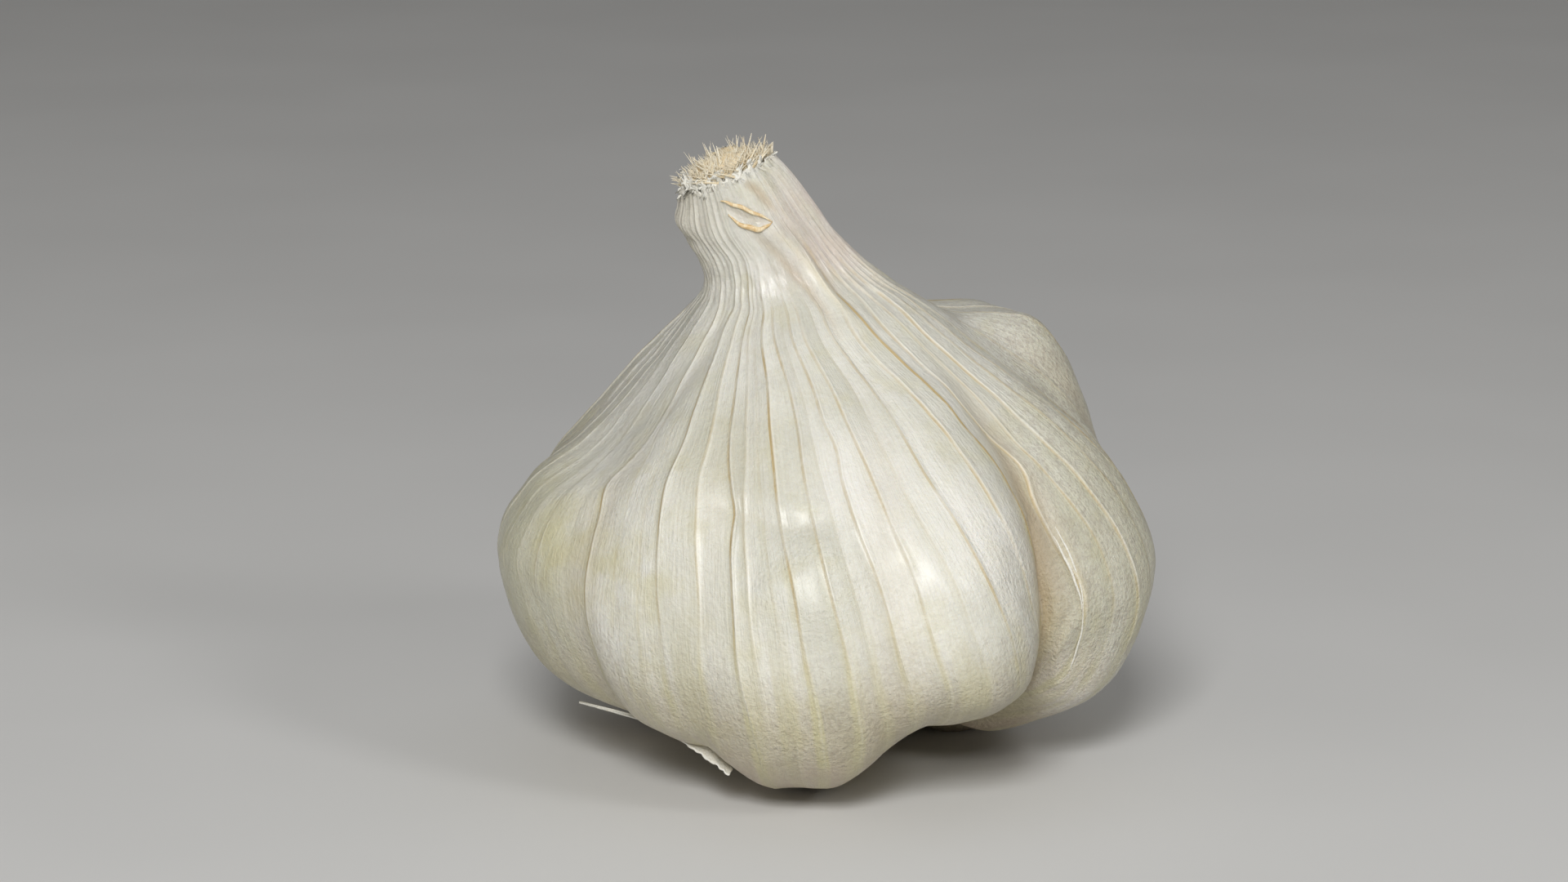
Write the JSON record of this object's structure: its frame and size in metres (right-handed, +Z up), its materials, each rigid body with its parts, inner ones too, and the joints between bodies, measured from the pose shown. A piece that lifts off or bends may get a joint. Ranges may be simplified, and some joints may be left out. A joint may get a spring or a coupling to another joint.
{
  "type": "garlic bulb",
  "caption": "Whole cured garlic bulb: lobed and ribbed under a papery white skin, with a leaning cut neck showing its fibres and a trimmed root plate underneath.",
  "frame": {"origin": "below the middle of the bulb's outline, on the surface that it stands on", "axes": "+Z up; -Y is the side seen in the picture; the neck leans towards -X"},
  "size_m": [0.0622, 0.0596, 0.0598],
  "materials": {
    "skin": "satin papery skin, cream veins with fine amber edges",
    "stalk": "matt cut fibres, tan to straw",
    "root": "matt dry corky plate and root stubs"
  },
  "bodies": {
    "root": {"bulb": "skin", "neck_stalk": "stalk", "root_plate": "root"}
  },
  "joints": []
}
